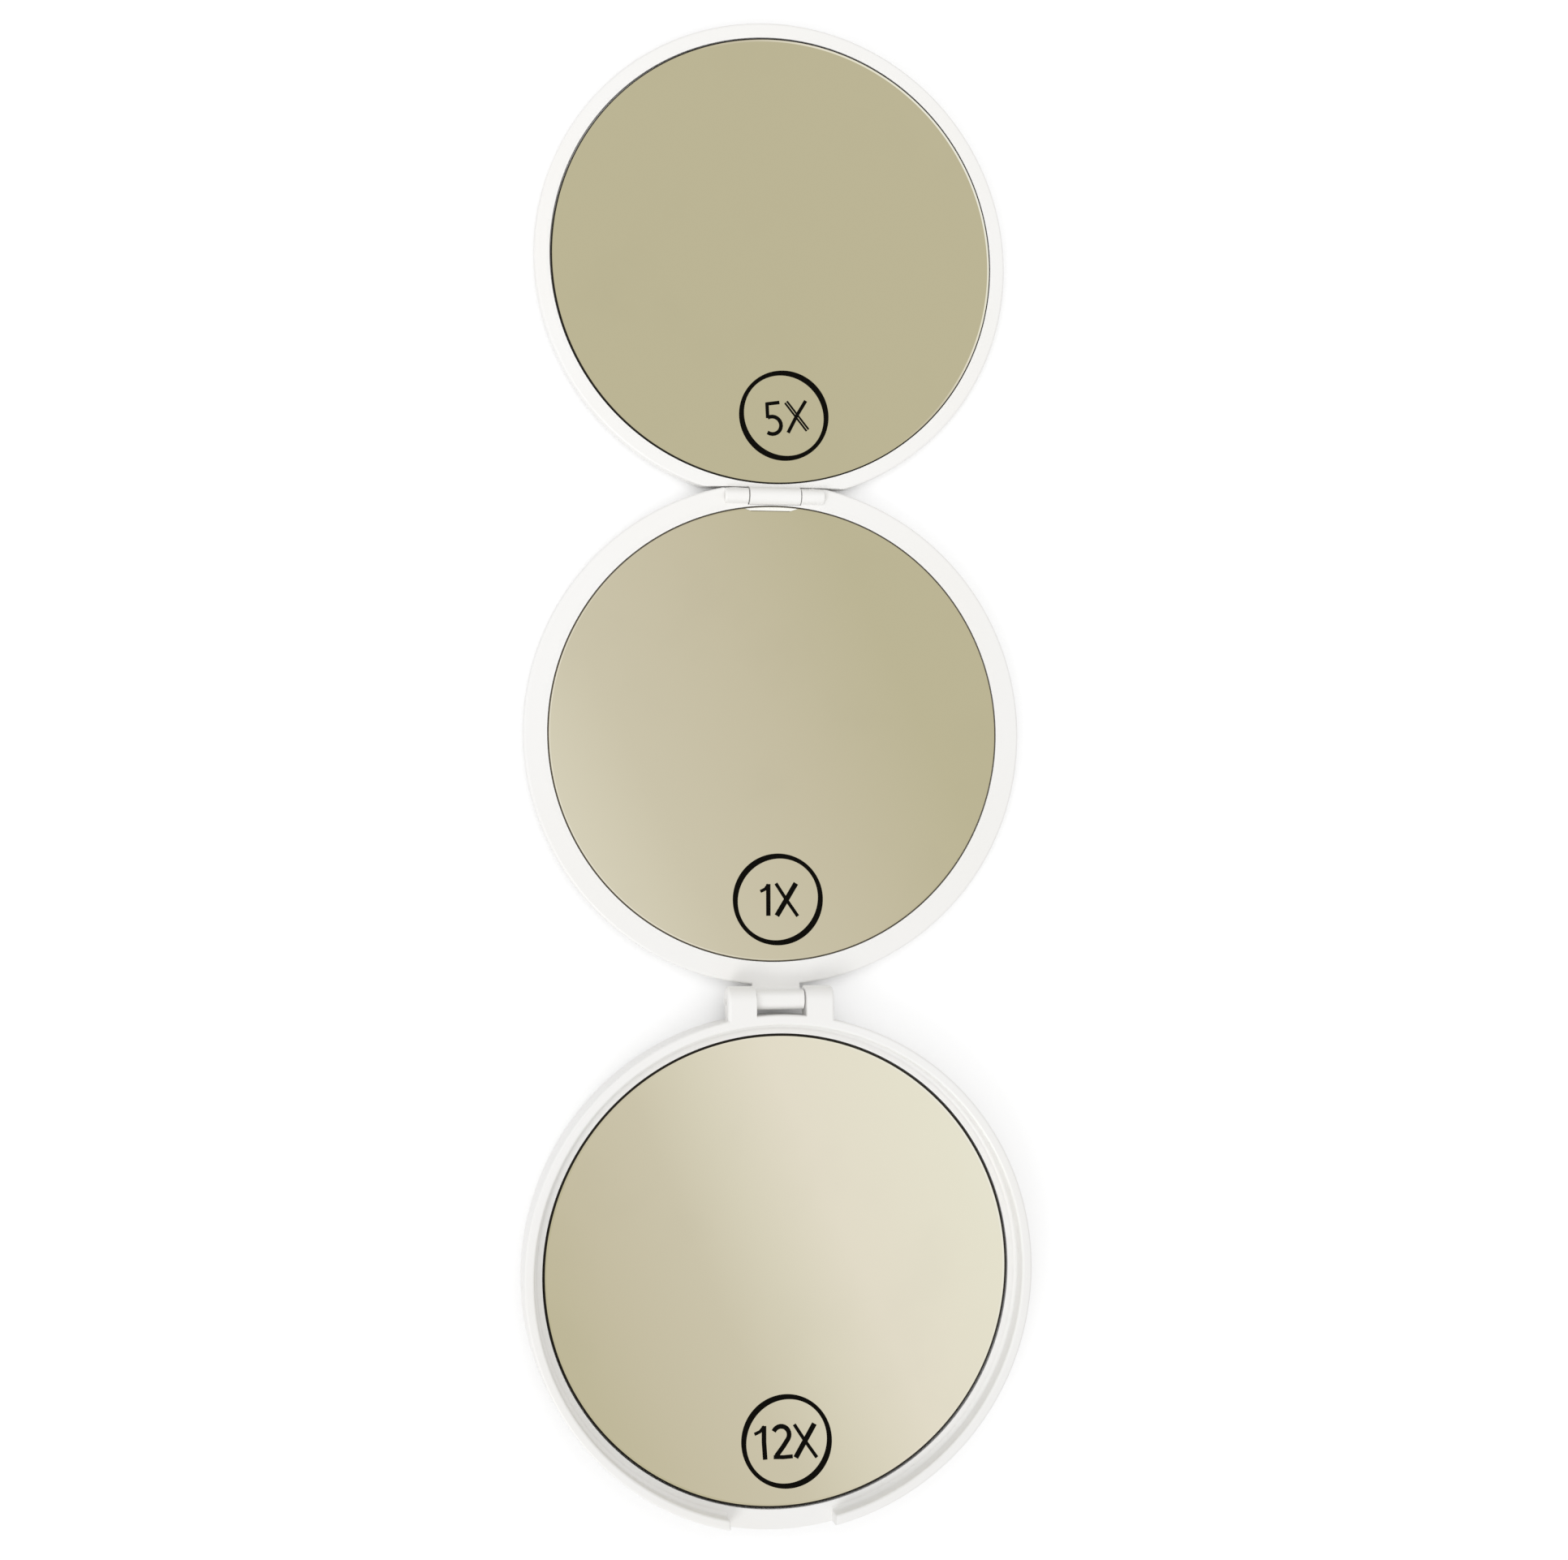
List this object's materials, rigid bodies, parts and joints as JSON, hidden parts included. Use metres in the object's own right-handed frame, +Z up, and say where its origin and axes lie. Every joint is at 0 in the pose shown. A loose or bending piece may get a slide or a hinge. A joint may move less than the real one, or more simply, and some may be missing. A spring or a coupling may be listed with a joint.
{
  "type": "folding compact mirror",
  "caption": "Folding round compact mirror opened flat: base tray with a raised rim, lid and smaller leaf, joined by small pin hinges, with plain and hollow magnifying mirrors.",
  "frame": {"origin": "centre of the base's underside, on the surface that the open compact lies on", "axes": "+Z up out of the mirrors, +Y from the base over the lid to the leaf, +X along both hinge axes"},
  "size_m": [0.0858, 0.2536, 0.0086],
  "materials": {
    "white_plastic": "white moulded plastic with a soft gloss",
    "mirror_glass": "silvered glass with a ground edge",
    "pin_steel": "drawn steel wire",
    "tape_and_foam": "grey foam and double-sided tape, hidden behind the glass"
  },
  "bodies": {
    "base": {"base_shell": "white_plastic", "base_tray": "white_plastic", "base_glue_tape": "tape_and_foam", "base_foam_dot": "tape_and_foam", "mirror_12x": "mirror_glass", "lower_hinge_pin": "pin_steel"},
    "lid": {"lid_cover": "white_plastic", "lid_frame": "white_plastic", "lid_glue_tape": "tape_and_foam", "mirror_1x": "mirror_glass", "upper_hinge_pin": "pin_steel"},
    "leaf": {"leaf_cover": "white_plastic", "leaf_frame": "white_plastic", "leaf_glue_tape": "tape_and_foam", "leaf_foam_dot": "tape_and_foam", "mirror_5x": "mirror_glass"}
  },
  "joints": [
    {"name": "lid_fold", "type": "hinge", "parent": "base", "child": "lid", "pos_m": [0, 0.045, 0.00599], "axis": [1, 0, 0], "range_deg": [0, 180]},
    {"name": "leaf_fold", "type": "hinge", "parent": "lid", "child": "leaf", "pos_m": [0, 0.1301, 0.00325], "axis": [1, 0, 0], "range_deg": [0, 180]}
  ]
}
